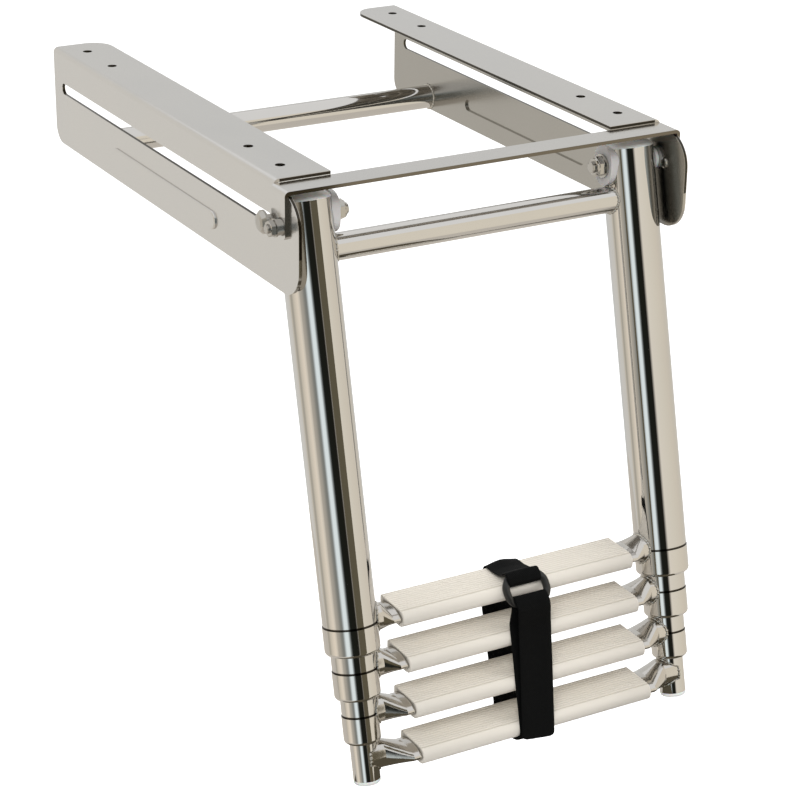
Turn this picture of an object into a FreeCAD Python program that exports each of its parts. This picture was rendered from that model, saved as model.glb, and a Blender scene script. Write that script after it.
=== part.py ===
import FreeCAD, Part
import Sketcher
import math
import os

from FreeCAD import Placement, Rotation, Vector

# Sliding telescopic boarding ladder with four treads, hung under a swim platform.
# Millimetres. X runs across the ladder, Y runs inboard along the rails, Z is up.
# The origin lies on the mounting plane of the rails, midway between all their bolt holes.

doc = FreeCAD.newDocument("boarding_ladder")
dims = doc.addObject("Spreadsheet::Sheet", "dims")

SIZES = [
    ("sheet", 2.5, "rail plate thickness"),
    ("overall_width", 308.0, "across the outer faces of both rails"),
    ("flange_width", 42.5, "rail flange, outer face to free edge"),
    ("web_height", 74.5, "rail web below the mounting plane"),
    ("bend_radius", 4.0, "outside radius of the rail bend"),
    ("flange_corner", 16.5, "rounded rear corner of the flange"),
    ("web_corner", 12.4, "rounded rear corner of the web"),
    ("nose_reach", 36.0, "web nose in front of the flange"),
    ("nose_top_radius", 22.5, "upper curve of the nose"),
    ("nose_bottom_radius", 21.5, "lower curve of the nose"),
    ("hole_width", 7.0, "mounting bolt holes"),
    ("hole_inset", 18.5, "mounting holes, from the outer face"),
    ("hole_margin", 26.7, "front mounting hole, from the front of the flange"),
    ("rear_margin", 24.3, "rear mounting hole, from the rear of the flange"),
    ("hole_span", 330.0, "foremost to rearmost mounting hole"),
    ("hole_pitch", 48.0, "between the two holes of a pair"),
    ("slot_width", 8.6, "slide slot"),
    ("slot_drop", 29.0, "slide slot below the mounting plane"),
    ("slot_margin", 15.0, "rear end of the slot, from the rear of the rail"),
    ("pivot_setback", 3.0, "pivot behind the front of the flange"),
    ("rib_start", 88.5, "pressed rib, from the front of the flange"),
    ("rib_length", 178.0, "pressed rib"),
    ("rib_drop", 56.0, "pressed rib below the mounting plane"),
    ("rib_width", 13.4, "pressed rib"),
    ("rib_height", 1.6, "pressed rib, out of the web"),
    ("rib_wall", 2.2, "side wall of the pressed rib"),
    ("rib_round", 1.2, "rounded crest of the pressed rib"),
    ("stay_setback", 323.4, "rear cross tube behind the front of the flange"),
    ("stay_drop", 64.3, "rear cross tube below the mounting plane"),
    ("stay_width", 19.05, "cross tubes, outside"),
    ("stay_wall", 1.5, "cross tubes, wall"),
    ("bar_width", 21.1, "front bar"),
    ("bar_sheet", 2.5, "front bar thickness"),
    ("bar_gap", 0.3, "front bar in front of the flange"),
    ("bar_bend", 3.5, "outside radius of the bends of the front bar"),
    ("bar_relief", 1.2, "web corner cut away under the bends of the front bar"),
    ("tab_drop", 36.0, "lower end of the tabs of the front bar"),
    ("tab_setback", 1.7, "rear edge of the tabs, in front of the flange"),
    ("tab_corner", 4.0, "rounded corners of the tabs"),
    ("tab_bolt", 6.0, "bolts through the tabs"),
    ("tab_bolt_play", 0.2, "hole of a tab bolt, all round"),
    ("tab_head", 8.0, "inner heads of the tab bolts, across"),
    ("tab_head_height", 1.2, "inner heads of the tab bolts"),
    ("tab_nut", 10.0, "tab nuts, across flats"),
    ("tab_nut_height", 4.0, "tab nuts"),
    ("tab_washer", 12.5, "washers of the tab nuts"),
    ("tab_washer_height", 1.2, "washers of the tab nuts"),
    ("tab_spacer", 11.0, "spacers under the washers of the tab nuts"),
    ("tab_spacer_height", 2.3, "spacers under the washers of the tab nuts"),
    ("tab_stud", 1.5, "bolt end beyond a tab nut"),
    ("pivot_bolt", 8.0, "pivot bolts"),
    ("pivot_play", 0.1, "bores on the pivot bolts, all round"),
    ("pivot_head", 16.0, "domed heads of the pivot bolts"),
    ("pivot_head_height", 4.5, "domed heads of the pivot bolts"),
    ("sleeve", 9.0, "sleeves between the heads and the rails"),
    ("sleeve_height", 5.3, "sleeves between the heads and the rails"),
    ("side_play", 0.2, "running gap on each side of a rail web"),
    ("slide_washer", 16.0, "plastic washers between rail and post"),
    ("saddle", 22.0, "curved spacers on the inner side of the posts, front to rear"),
    ("saddle_length", 29.0, "curved spacers, top to bottom"),
    ("saddle_height", 2.5, "curved spacers, beyond the post"),
    ("seat_gap", 0.1, "saddles and slide washers, from the turning post"),
    ("washer", 17.0, "washers of the pivot nuts"),
    ("washer_height", 1.5, "washers of the pivot nuts"),
    ("nut", 13.0, "pivot nuts, across flats"),
    ("nut_height", 6.5, "pivot nuts"),
    ("nut_stud", 2.0, "pivot bolt end beyond a nut"),
    ("dome_rim", 0.35, "upright rim of the bolt heads, share of their height"),
    ("dome_shoulder", 0.72, "shoulder of the bolt heads, share of their width"),
    ("dome_shoulder_height", 0.9, "shoulder of the bolt heads, share of their height"),
    ("dome_flat", 0.4, "flat crown of the bolt heads, share of their width"),
    ("lean", 13.4, "outward lean of the hanging ladder in degrees"),
    ("post_inset", 24.25, "axis of a post, from the outer face of its rail"),
    ("tube_1", 38.1, "outside of the top tubes"),
    ("tube_2", 31.75, "outside of the second tubes"),
    ("tube_3", 25.4, "outside of the third tubes"),
    ("tube_4", 19.05, "outside of the lowest tubes"),
    ("tube_wall", 1.3, "wall of all telescopic tubes"),
    ("post_rise", 11.0, "top end of the posts above the pivot"),
    ("cap_height", 5.2, "top caps"),
    ("cap_rim", 1.6, "upright rim of the top caps"),
    ("cap_slope", 6.5, "width of the sloping edge of the top caps"),
    ("cap_round", 2.6, "rounding of the top caps"),
    ("cap_plug", 0.1, "gap between a plug and its tube"),
    ("top_plug", 2.0, "plug of a top cap inside its post"),
    ("brace_drop", 24.6, "cross tube of the ladder below the pivot"),
    ("top_room", 15.0, "guide bushes below the pivot with the ladder closed"),
    ("step_pitch", 32.45, "from tread to tread with the ladder closed"),
    ("travel", 240.0, "slide of each telescopic section"),
    ("collar_height", 21.2, "end collars"),
    ("collar_rim", 0.4, "end collars, beyond their tube"),
    ("collar_round", 2.8, "rounded lower edge of the end collars"),
    ("collar_lip", 0.2, "flat left inside the rounded edge of the end collars"),
    ("collar_groove", 1.4, "groove round the top of the end collars, top to bottom"),
    ("collar_groove_depth", 0.8, "groove round the top of the end collars"),
    ("collar_play", 0.25, "bore of the collars, round the next tube"),
    ("spigot", 12.0, "end collars, inside their tube"),
    ("bush_height", 15.0, "guide bushes on the tops of the inner tubes"),
    ("bush_play", 0.3, "guide bushes, inside the next tube"),
    ("foot_reach", 16.0, "lowest tubes below their rung"),
    ("foot_height", 3.2, "end caps of the lowest tubes"),
    ("foot_round", 2.2, "rounded lower edge of the end caps"),
    ("foot_plug", 8.0, "end caps, inside the lowest tubes"),
    ("cope_reach", 60.0, "length that the ends of a cross piece are coped over"),
    ("rung_width", 21.2, "round ends of the rungs"),
    ("rung_flat_depth", 29.0, "flattened rung, front to rear"),
    ("rung_flat_height", 10.0, "flattened rung, top to bottom"),
    ("rung_flare", 6.0, "flattened rung outside its tread, each end"),
    ("rung_seat", 2.0, "round ends of the rungs, beyond the outside of their tube"),
    ("tread_margin", 34.25, "ends of the treads, from the axes of the posts"),
    ("tread_depth", 34.0, "treads, front to rear"),
    ("tread_height", 12.9, "treads, top to bottom"),
    ("tread_nose", 6.1, "rounded nose of the treads"),
    ("tread_rear", 2.5, "rounded rear edges of the treads"),
    ("tread_grip", 0.1, "tread cover, round the flattened rung"),
    ("tread_rise", -1.0, "treads above the ends of their tubes"),
    ("tread_advance", 2.95, "each tread in front of the one above"),
    ("tread_set", -2.2, "first tread in front of the post axis"),
    ("webbing_width", 28.0, "webbing"),
    ("webbing_sheet", 1.6, "webbing thickness"),
    ("webbing_gap", 0.45, "webbing, from the treads"),
    ("webbing_offset", -1.5, "webbing, right of the middle"),
    ("buckle_gap", 1.2, "ring buckle, in front of two layers of webbing on a tread"),
    ("buckle_offset", 1.7, "ring buckle, right of the middle"),
    ("buckle_width", 40.0, "ring buckle, across"),
    ("buckle_height", 25.0, "ring buckle, top to bottom"),
    ("buckle_sheet", 3.0, "ring buckle thickness"),
    ("buckle_frame", 6.5, "bars of the ring buckle"),
    ("buckle_corner", 5.0, "rounded corners of the ring buckle"),
]

for row, (alias, size, note) in enumerate(SIZES, 1):
    dims.set("A%d" % row, note)
    dims.set("B%d" % row, str(size))
    dims.setAlias("B%d" % row, alias)
doc.recompute()


def size_of(formula):
    """Number that a formula of the sheet stands for."""
    answer = probe.evalExpression(formula)
    return float(getattr(answer, "Value", answer))


probe = doc.addObject("App::FeaturePython", "probe")

# Formulas shared by several pieces
HALF = "dims.overall_width/2"
WEB_INNER = "(dims.overall_width/2 - dims.sheet)"
FRONT = "(-dims.hole_span/2 - dims.hole_margin)"
REAR = "(dims.hole_span/2 + dims.rear_margin)"
PIVOT_Y = FRONT[:-1] + " + dims.pivot_setback)"
PIVOT_Z = "(-dims.slot_drop)"
BAR_MIDDLE = FRONT[:-1] + " - dims.bar_gap - dims.bar_width/2)"
TAB_MIDDLE = FRONT[:-1] + " - (dims.tab_setback + dims.bar_gap + dims.bar_width)/2)"
POST_X = "(dims.overall_width/2 - dims.post_inset)"
TUBES = ["dims.tube_1", "dims.tube_2", "dims.tube_3", "dims.tube_4"]
RINGS = ["(dims.top_room + dims.bush_height + dims.travel + dims.spigot + %d*dims.step_pitch)" % k for k in range(4)]
TREAD_LENGTH = "(2*%s - 2*dims.tread_margin)" % POST_X


def bore(k):
    """Inside width of telescopic tube k, counted from 0 at the top."""
    return "(%s - 2*dims.tube_wall)" % TUBES[k]


def tube_top(k):
    """How far below the pivot the top end of inner tube k lies.

    At full travel its guide bush meets the spigot of the collar above.
    """
    return "(%s - dims.spigot - dims.travel - dims.bush_height)" % RINGS[k - 1]


def place(thing, x="0", y="0", z="0", axis=Vector(1, 0, 0), angle="0"):
    """Give a piece a placement that follows the sheet."""
    thing.Placement = Placement(Vector(size_of(x), size_of(y), size_of(z)), Rotation(axis, size_of(angle)))
    for path, formula in (("Base.x", x), ("Base.y", y), ("Base.z", z), ("Rotation.Angle", angle)):
        if formula != "0":
            thing.setExpression("Placement." + path, formula)


def on_ladder(thing, drop="0", ahead="0", x="0"):
    """Place a piece in the leaning frame of the ladder: drop runs down the posts, ahead runs forward."""
    y = "%s - (%s)*sin(dims.lean) - (%s)*cos(dims.lean)" % (PIVOT_Y, drop, ahead)
    z = "%s - (%s)*cos(dims.lean) + (%s)*sin(dims.lean)" % (PIVOT_Z, drop, ahead)
    place(thing, x, y, z, Vector(1, 0, 0), "-dims.lean")


def level_on_ladder(thing, drop, ahead, x="0"):
    """Place a piece at a point of the leaning ladder, but level, as the treads are."""
    y = "%s - (%s)*sin(dims.lean) - (%s)*cos(dims.lean)" % (PIVOT_Y, drop, ahead)
    z = "%s - (%s)*cos(dims.lean) + (%s)*sin(dims.lean)" % (PIVOT_Z, drop, ahead)
    place(thing, x, y, z)


# Sketch and feature helpers

def new_body(label):
    body = doc.addObject("PartDesign::Body", label)
    body.Label = label
    return body


def plane_of(body, role):
    return next(feature for feature in body.Origin.OriginFeatures if feature.Role == role)


def new_sketch(body, role, offset="0"):
    """Sketch on an origin plane of its own body, moved along the plane's normal."""
    sketch = body.newObject("Sketcher::SketchObject", body.Label + "_sketch")
    sketch.AttachmentSupport = [(plane_of(body, role), "")]
    sketch.MapMode = "FlatFace"
    if offset != "0":
        sketch.AttachmentOffset = Placement(Vector(0, 0, size_of(offset)), Rotation())
        sketch.setExpression("AttachmentOffset.Base.z", offset)
    return sketch


def pin(sketch, geometry, point, x, y):
    """Hold a sketch point at two distances from the sketch origin."""
    for kind, formula in (("DistanceX", x), ("DistanceY", y)):
        index = sketch.addConstraint(Sketcher.Constraint(kind, -1, 1, geometry, point, size_of(formula)))
        sketch.setExpression("Constraints[%d]" % index, formula)


def outline(sketch, corners):
    """Closed outline of straight edges through corners, each a pair of formulas."""
    points = [Vector(size_of(x), size_of(y), 0) for x, y in corners]
    first = sketch.GeometryCount
    for start, end in zip(points, points[1:] + points[:1]):
        sketch.addGeometry(Part.LineSegment(start, end), False)
    for k in range(len(points)):
        following = first + (k + 1) % len(points)
        sketch.addConstraint(Sketcher.Constraint("Coincident", first + k, 2, following, 1))
    for k, (x, y) in enumerate(corners):
        pin(sketch, first + k, 1, x, y)


def circle(sketch, x, y, width):
    """Circle of a given width about a point."""
    round_line = Part.Circle(Vector(size_of(x), size_of(y), 0), Vector(0, 0, 1), size_of(width) / 2)
    index = sketch.addGeometry(round_line, False)
    pin(sketch, index, 3, x, y)
    datum = sketch.addConstraint(Sketcher.Constraint("Radius", index, size_of(width) / 2))
    sketch.setExpression("Constraints[%d]" % datum, "(%s)/2" % width)


def obround(sketch, start, end, across, width):
    """Slot with round ends along the sketch's x axis: the end centres lie at start and end."""
    radius = size_of(width) / 2
    low, high, level = size_of(start), size_of(end), size_of(across)
    up, down = Vector(0, radius, 0), Vector(0, -radius, 0)
    left, right = Vector(low, level, 0), Vector(high, level, 0)
    upward = Vector(0, 0, 1)
    left_end = sketch.addGeometry(
        Part.ArcOfCircle(Part.Circle(left, upward, radius), math.pi / 2, 3 * math.pi / 2), False)
    right_end = sketch.addGeometry(
        Part.ArcOfCircle(Part.Circle(right, upward, radius), -math.pi / 2, math.pi / 2), False)
    bottom = sketch.addGeometry(Part.LineSegment(left + down, right + down), False)
    top = sketch.addGeometry(Part.LineSegment(right + up, left + up), False)
    for first, first_point, second, second_point in (
            (left_end, 2, bottom, 1), (bottom, 2, right_end, 1), (right_end, 2, top, 1), (top, 2, left_end, 1)):
        sketch.addConstraint(Sketcher.Constraint("Tangent", first, first_point, second, second_point))
    pin(sketch, left_end, 3, start, across)
    pin(sketch, right_end, 3, end, across)
    datum = sketch.addConstraint(Sketcher.Constraint("Radius", left_end, radius))
    sketch.setExpression("Constraints[%d]" % datum, "(%s)/2" % width)


def pad(body, sketch, length, reverse=False, midplane=False):
    feature = body.newObject("PartDesign::Pad", body.Label + "_pad")
    feature.Profile = sketch
    feature.Length = size_of(length)
    feature.setExpression("Length", length)
    feature.Reversed = reverse
    feature.Midplane = midplane
    doc.recompute()
    return feature


def pocket(body, sketch, length, reverse=False, midplane=False):
    """Cut a sketch out of a body and check that it did cut."""
    before = body.Shape.Volume
    feature = body.newObject("PartDesign::Pocket", body.Label + "_pocket")
    feature.Profile = sketch
    feature.Length = size_of(length)
    feature.setExpression("Length", length)
    feature.Reversed = reverse
    feature.Midplane = midplane
    doc.recompute()
    if body.Shape.Volume > before - 1e-6:
        raise RuntimeError("a pocket of %s cuts nothing" % body.Label)
    return feature


def revolve(body, sketch):
    """Turn a sketch on the XZ plane once round the Z axis."""
    feature = body.newObject("PartDesign::Revolution", body.Label + "_revolution")
    feature.Profile = sketch
    feature.ReferenceAxis = (sketch, ["V_Axis"])
    feature.Angle = 360.0
    doc.recompute()
    return feature


def fillet(body, radius, chosen):
    """Round the edges of the body's tip that the function chosen picks."""
    tip = body.Tip
    names = ["Edge%d" % (k + 1) for k, edge in enumerate(tip.Shape.Edges) if chosen(edge)]
    if not names:
        raise RuntimeError("no edge to round on %s" % body.Label)
    feature = body.newObject("PartDesign::Fillet", body.Label + "_fillet")
    feature.Base = (tip, names)
    feature.Radius = size_of(radius)
    feature.setExpression("Radius", radius)
    doc.recompute()
    return feature


def runs_along(edge, axis):
    """True for a straight edge parallel to an axis."""
    return edge.Curve.TypeId == "Part::GeomLine" and abs(abs(edge.Curve.Direction.dot(axis)) - 1) < 1e-6


def passes(edge, **place_of):
    """True for an edge whose middle has the given coordinates."""
    middle = edge.BoundBox.Center
    return all(abs(getattr(middle, name) - value) < 0.01 for name, value in place_of.items())


ALONG_X, ALONG_Y, ALONG_Z = Vector(1, 0, 0), Vector(0, 1, 0), Vector(0, 0, 1)


def ring(label, outer, inner, height, below="0"):
    """Round tube or washer about Z, from below its origin upwards."""
    body = new_body(label)
    sketch = new_sketch(body, "XZ_Plane")
    low, high = "(-(%s))" % below, "(%s - (%s))" % (height, below)
    outer, inner = "(%s)/2" % outer, "(%s)/2" % inner
    outline(sketch, [(inner, low), (outer, low), (outer, high), (inner, high)])
    revolve(body, sketch)
    return body


# Rails: each is one bent plate, a bolted top flange and a slotted web with a rounded nose

def right_rail():
    body = new_body("rail_right")
    nose = FRONT[:-1] + " - dims.nose_reach)"
    shelf = "(-dims.sheet - dims.bar_sheet)"
    floor = "(-dims.web_height)"
    web = new_sketch(body, "YZ_Plane", WEB_INNER)
    outline(web, [(REAR, "0"), (FRONT, "0"), (FRONT, shelf), (nose, shelf), (nose, floor), (REAR, floor)])
    pad(body, web, "dims.sheet")
    flange = new_sketch(body, "XY_Plane")
    free_edge = "(%s - dims.flange_width)" % HALF
    outline(flange, [(free_edge, FRONT), (HALF, FRONT), (HALF, REAR), (free_edge, REAR)])
    pad(body, flange, "dims.sheet", reverse=True)
    y_nose, y_rear = size_of(nose), size_of(REAR)
    fillet(body, "dims.nose_top_radius", lambda e: runs_along(e, ALONG_X) and passes(e, y=y_nose, z=size_of(shelf)))
    fillet(body, "dims.nose_bottom_radius",
           lambda e: runs_along(e, ALONG_X) and passes(e, y=y_nose, z=size_of(floor)))
    fillet(body, "dims.web_corner", lambda e: runs_along(e, ALONG_X) and passes(e, y=y_rear, z=size_of(floor)))
    fillet(body, "dims.flange_corner",
           lambda e: runs_along(e, ALONG_Z) and passes(e, x=size_of(free_edge), y=y_rear))
    fillet(body, "dims.bend_radius", lambda e: runs_along(e, ALONG_Y) and passes(e, x=size_of(HALF), z=0.0))
    fillet(body, "dims.bend_radius - dims.sheet",
           lambda e: runs_along(e, ALONG_Y) and passes(e, x=size_of(WEB_INNER), z=-size_of("dims.sheet")))

    slot = new_sketch(body, "YZ_Plane", WEB_INNER)
    slot_rear = REAR[:-1] + " - dims.slot_margin - dims.slot_width/2)"
    obround(slot, PIVOT_Y, slot_rear, PIVOT_Z, "dims.slot_width")
    pocket(body, slot, "dims.sheet", reverse=True)
    bolt = new_sketch(body, "YZ_Plane", WEB_INNER)
    circle(bolt, TAB_MIDDLE, PIVOT_Z, "dims.tab_bolt + 2*dims.tab_bolt_play")
    pocket(body, bolt, "dims.sheet", reverse=True)

    holes = new_sketch(body, "XY_Plane")
    hole_x = "(%s - dims.hole_inset)" % HALF
    for side in ("-", ""):
        for shift in ("", " - dims.hole_pitch"):
            circle(holes, hole_x, "%s(dims.hole_span/2%s)" % (side, shift), "dims.hole_width")
    pocket(body, holes, "dims.sheet")

    # relief under the bend of the front bar
    relief = new_sketch(body, "XZ_Plane", "(-%s)" % FRONT)
    outline(relief, [(HALF, shelf), (HALF, "(%s - dims.bar_relief)" % shelf), ("(%s - dims.bar_relief)" % HALF, shelf)])
    pocket(body, relief, "dims.bar_gap + dims.bar_width + dims.bar_relief", reverse=True)

    # pressed rib: raised on the outer face, hollow on the inner one
    rib_front = FRONT[:-1] + " + dims.rib_start + dims.rib_width/2)"
    rib_rear = FRONT[:-1] + " + dims.rib_start + dims.rib_length - dims.rib_width/2)"
    rise = new_sketch(body, "YZ_Plane", HALF)
    obround(rise, rib_front, rib_rear, "(-dims.rib_drop)", "dims.rib_width")
    pad(body, rise, "dims.rib_height")
    crest = size_of(HALF) + size_of("dims.rib_height")
    fillet(body, "dims.rib_round", lambda e: abs(e.BoundBox.XMin - crest) < 0.01 and e.BoundBox.XLength < 0.01)
    hollow = new_sketch(body, "YZ_Plane", WEB_INNER)
    obround(hollow, rib_front, rib_rear, "(-dims.rib_drop)", "dims.rib_width - 2*dims.rib_wall")
    pocket(body, hollow, "dims.rib_height", reverse=True)
    return body


def mirrored(source, label):
    """The same piece for the left side."""
    twin = doc.addObject("Part::Mirroring", label)
    twin.Source = source
    twin.Normal = ALONG_X
    twin.Base = Vector(0, 0, 0)
    twin.Label = label
    return twin


# Front bar: a flat strip across the rails, bent down outside both webs

def front_bar():
    body = new_body("front_bar")
    sketch = new_sketch(body, "XZ_Plane", "(-%s)" % BAR_MIDDLE)
    out, low = "(%s + dims.bar_sheet)" % HALF, "(-dims.tab_drop)"
    top, under = "(-dims.sheet)", "(-dims.sheet - dims.bar_sheet)"
    outline(sketch, [
        ("(-%s)" % out, low), ("(-%s)" % HALF, low), ("(-%s)" % HALF, under), (HALF, under),
        (HALF, low), (out, low), (out, top), ("(-%s)" % out, top)])
    pad(body, sketch, "dims.bar_width", midplane=True)
    shoulders = new_sketch(body, "XZ_Plane", "(-%s + dims.bar_gap)" % FRONT)
    shoulder = "(%s - dims.bar_bend)" % top
    for side in ("", "-"):
        inner, outer = "%s(%s - dims.bar_sheet)" % (side, HALF), "%s(%s + dims.bar_sheet)" % (side, out)
        outline(shoulders, [(inner, "2*" + low), (outer, "2*" + low), (outer, shoulder), (inner, shoulder)])
    pocket(body, shoulders, "dims.tab_setback - dims.bar_gap", reverse=True)
    fillet(body, "dims.bar_bend",
           lambda e: runs_along(e, ALONG_Y) and abs(abs(e.BoundBox.Center.x) - size_of(out)) < 0.01
           and abs(e.BoundBox.Center.z - size_of(top)) < 0.01)
    fillet(body, "dims.bar_bend - dims.bar_sheet",
           lambda e: runs_along(e, ALONG_Y) and abs(abs(e.BoundBox.Center.x) - size_of(HALF)) < 0.01
           and abs(e.BoundBox.Center.z - size_of(under)) < 0.01)
    fillet(body, "dims.tab_corner",
           lambda e: runs_along(e, ALONG_X) and abs(e.BoundBox.Center.z - size_of(low)) < 0.01)
    holes = new_sketch(body, "YZ_Plane", "(-%s)" % out)
    circle(holes, TAB_MIDDLE, PIVOT_Z, "dims.tab_bolt + 2*dims.tab_bolt_play")
    pocket(body, holes, "2*%s" % out, reverse=True)
    return body


# Fasteners: turned and hexagonal pieces about Z, laid across the ladder afterwards

def hex_nut(label, across, height, hole):
    body = new_body(label)
    sketch = new_sketch(body, "XY_Plane")
    corner, flat = "(%s)/sqrt(3)" % across, "(%s)/2" % across
    outline(sketch, [
        (corner, "0"), (corner + "/2", flat), ("-" + corner + "/2", flat),
        ("-" + corner, "0"), ("-" + corner + "/2", "-" + flat), (corner + "/2", "-" + flat)])
    circle(sketch, "0", "0", hole)
    pad(body, sketch, height)
    return body


def domed_bolt(label, shank, length, head, head_height):
    """Bolt about Z: the head stands on the XY plane and the shank runs down from it."""
    body = new_body(label)
    sketch = new_sketch(body, "XZ_Plane")
    rim = "(%s)/2" % head
    outline(sketch, [
        ("0", "-(%s)" % length), ("(%s)/2" % shank, "-(%s)" % length), ("(%s)/2" % shank, "0"), (rim, "0"),
        (rim, "(%s)*dims.dome_rim" % head_height),
        ("(%s)*dims.dome_shoulder" % rim, "(%s)*dims.dome_shoulder_height" % head_height),
        ("(%s)*dims.dome_flat" % rim, head_height), ("0", head_height)])
    revolve(body, sketch)
    return body


def along_x(thing, x, y=PIVOT_Y, z=PIVOT_Z):
    """Turn a piece about Z to point outwards along X on the right side."""
    place(thing, x, y, z, Vector(0, 1, 0), "90")
    return thing


def both_sides(piece, label):
    """One node that holds a piece and its twin on the left side."""
    pair = doc.addObject("Part::Compound", label)
    pair.Links = [piece, mirrored(piece, label + "_twin")]
    pair.Label = label
    return pair


# Ladder pieces

def post():
    body = new_body("post_right")
    sketch = new_sketch(body, "XZ_Plane")
    inner, outer = bore(0) + "/2", TUBES[0] + "/2"
    low = "-" + RINGS[0]
    outline(sketch, [(inner, low), (outer, low), (outer, "dims.post_rise"), (inner, "dims.post_rise")])
    revolve(body, sketch)
    hole = new_sketch(body, "YZ_Plane")
    circle(hole, "0", "0", "dims.pivot_bolt + 2*dims.pivot_play")
    pocket(body, hole, TUBES[0], midplane=True)
    on_ladder(body, x=POST_X)
    return body


def top_cap():
    body = new_body("top_cap_right")
    sketch = new_sketch(body, "XZ_Plane")
    edge, crown = TUBES[0] + "/2", "(dims.post_rise + dims.cap_height)"
    plug = "(%s/2 - dims.cap_plug)" % bore(0)
    outline(sketch, [
        ("0", "(dims.post_rise - dims.top_plug)"), (plug, "(dims.post_rise - dims.top_plug)"),
        (plug, "dims.post_rise"), (edge, "dims.post_rise"), (edge, "(dims.post_rise + dims.cap_rim)"),
        ("(%s - dims.cap_slope)" % edge, crown), ("0", crown)])
    revolve(body, sketch)
    shoulder = size_of("dims.post_rise + dims.cap_rim")
    fillet(body, "dims.cap_round",
           lambda e: e.Curve.TypeId == "Part::GeomCircle" and e.BoundBox.ZLength < 0.01
           and e.BoundBox.ZMin > shoulder - 0.01)
    on_ladder(body, x=POST_X)
    return body


def collar(k):
    """End collar of tube k: it grips the tube with a spigot and guides the next tube in its bore."""
    body = new_body("collar_%d_right" % (k + 1))
    sketch = new_sketch(body, "XZ_Plane")
    rim = "(%s/2 + dims.collar_rim)" % TUBES[k]
    guide = "(%s/2 + dims.collar_play)" % TUBES[k + 1]
    neck = "(%s/2 - dims.cap_plug)" % bore(k)
    waist = "(%s - dims.collar_groove_depth)" % rim
    outline(sketch, [
        (guide, "(-dims.collar_height)"), (rim, "(-dims.collar_height)"), (rim, "(-dims.collar_groove)"),
        (waist, "(-dims.collar_groove)"), (waist, "0"), (neck, "0"),
        (neck, "dims.spigot"), (guide, "dims.spigot")])
    revolve(body, sketch)
    floor, width = -size_of("dims.collar_height"), 2 * size_of(rim)
    fillet(body, "min(dims.collar_round; %s - %s - dims.collar_lip)" % (rim, guide),
           lambda e: abs(e.BoundBox.ZMax - floor) < 0.01 and abs(e.BoundBox.XLength - width) < 0.1)
    on_ladder(body, drop=RINGS[k], x=POST_X)
    return body


def inner_tube(k):
    end = RINGS[k] if k < 3 else "(%s + dims.foot_reach)" % RINGS[k]
    length = "(%s - %s)" % (end, tube_top(k))
    tube = ring("tube_%d_right" % (k + 1), TUBES[k], bore(k), length, below=length)
    on_ladder(tube, drop=tube_top(k), x=POST_X)
    return tube


def guide_bush(k):
    outer = "(%s - 2*dims.bush_play)" % bore(k - 1)
    bush = ring("guide_bush_%d" % (k + 1), outer, "(%s + 2*dims.cap_plug)" % TUBES[k],
                "dims.bush_height", below="dims.bush_height")
    on_ladder(bush, drop=tube_top(k), x=POST_X)
    return bush


def foot_cap():
    body = new_body("foot_cap_right")
    sketch = new_sketch(body, "XZ_Plane")
    plug, edge = "(%s/2 - dims.cap_plug)" % bore(3), TUBES[3] + "/2"
    outline(sketch, [
        ("0", "(-dims.foot_height)"), (edge, "(-dims.foot_height)"), (edge, "0"), (plug, "0"),
        (plug, "dims.foot_plug"), ("0", "dims.foot_plug")])
    revolve(body, sketch)
    floor = -size_of("dims.foot_height")
    fillet(body, "dims.foot_round", lambda e: abs(e.BoundBox.ZMax - floor) < 0.01 and e.BoundBox.XLength > 1)
    on_ladder(body, drop="(%s + dims.foot_reach)" % RINGS[3], x=POST_X)
    return body


def rod(name, width, length):
    """Plain cylinder about Z, half on each side of its origin once it is placed."""
    cylinder = doc.addObject("Part::Cylinder", name)
    for prop, formula in (("Radius", "(%s)/2" % width), ("Height", length)):
        setattr(cylinder, prop, size_of(formula))
        cylinder.setExpression(prop, formula)
    return cylinder


def cut(label, base, tool):
    piece = doc.addObject("Part::Cut", label)
    piece.Base = base
    piece.Tool = tool
    piece.Label = label
    return piece


def fused(name, pieces):
    whole = doc.addObject("Part::MultiFuse", name)
    whole.Shapes = pieces
    return whole


def copes(name, width, drop):
    """Two cylinders on the post axes, which cope the ends of a cross piece to its tubes."""
    cylinders = []
    for side, x in (("left", "(-%s)" % POST_X), ("right", POST_X)):
        cylinder = rod("%s_%s" % (name, side), width, "dims.cope_reach")
        on_ladder(cylinder, drop="(%s + dims.cope_reach/2)" % drop, x=x)
        cylinders.append(cylinder)
    return fused(name, cylinders)


def cross_tube(label, length, x, y, z):
    """Hollow tube along X, centred on the middle of the ladder."""
    outer = rod(label + "_outside", "dims.stay_width", length)
    inner = rod(label + "_inside", "dims.stay_width - 2*dims.stay_wall", length)
    for cylinder in (outer, inner):
        place(cylinder, x, y, z, Vector(0, 1, 0), "90")
    return outer, inner


def rear_stay():
    length = "2*%s" % WEB_INNER
    y = FRONT[:-1] + " + dims.stay_setback)"
    outer, inner = cross_tube("rear_stay", length, "(-%s)" % WEB_INNER, y, "(-dims.stay_drop)")
    return cut("rear_cross_tube", outer, inner)


def ladder_brace():
    y = "(%s - dims.brace_drop*sin(dims.lean))" % PIVOT_Y
    z = "(%s - dims.brace_drop*cos(dims.lean))" % PIVOT_Z
    outer, inner = cross_tube("ladder_brace", "2*%s" % POST_X, "(-%s)" % POST_X, y, z)
    hollow = cut("brace_hollow", outer, inner)
    return cut("ladder_cross_tube", hollow, copes("brace_copes", TUBES[0], "dims.brace_drop"))


ACROSS = Rotation(Vector(1, 1, 1), 120)


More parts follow.
